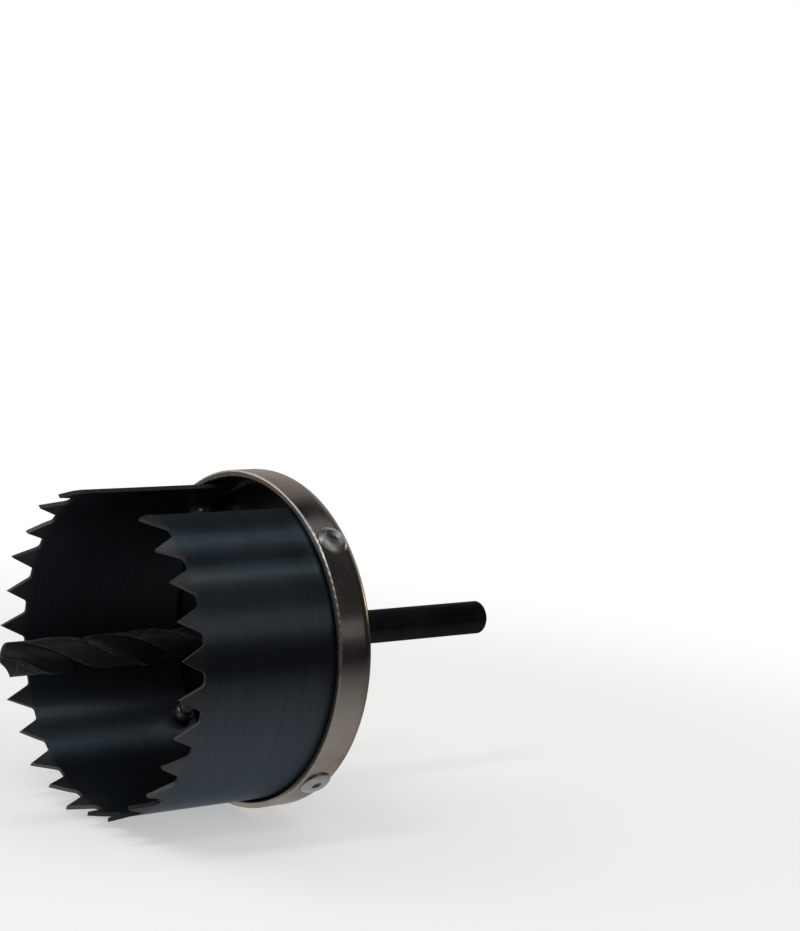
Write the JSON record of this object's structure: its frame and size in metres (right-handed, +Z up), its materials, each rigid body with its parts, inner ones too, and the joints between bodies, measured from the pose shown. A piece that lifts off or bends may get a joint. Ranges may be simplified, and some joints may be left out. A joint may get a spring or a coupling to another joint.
{
  "type": "hole saw",
  "caption": "Hole saw: a toothed C-shaped steel band riveted into a drawn cap, held on a shanked arbor with a twist drill standing out in front as the pilot.",
  "frame": {"origin": "middle of the shank's free end, on the tool's axis", "axes": "+X along the axis and out of the shank, the way the chuck comes off, with the teeth facing -X; +Z up through the gap in the band, as the tool lies on the side of its cap"},
  "size_m": [0.135, 0.0772, 0.0772],
  "materials": {
    "blued_strip": "dark blued strip steel with fine brush lines",
    "nickel_cap": "bright nickel plate",
    "black_oxide": "turned steel, black oxide",
    "drill_oxide": "black oxide with lighter ground margins",
    "black_hardware": "black oxide",
    "zinc_nut": "zinc plated",
    "spring_steel": "oiled spring steel",
    "rivet_aluminium": "bright aluminium",
    "rivet_mandrel": "broken steel wire end"
  },
  "bodies": {
    "root": {"saw_band": "blued_strip", "cap": "nickel_cap", "arbor": "black_oxide", "pilot_drill": "drill_oxide", "set_screw": "black_hardware", "lock_nut": "zinc_nut", "spring_washer": "spring_steel", "rivet_1": "rivet_aluminium", "rivet_2": "rivet_aluminium", "rivet_3": "rivet_aluminium", "rivet_4": "rivet_aluminium", "rivet_pin_1": "rivet_mandrel", "rivet_pin_2": "rivet_mandrel", "rivet_pin_3": "rivet_mandrel", "rivet_pin_4": "rivet_mandrel"}
  },
  "joints": []
}
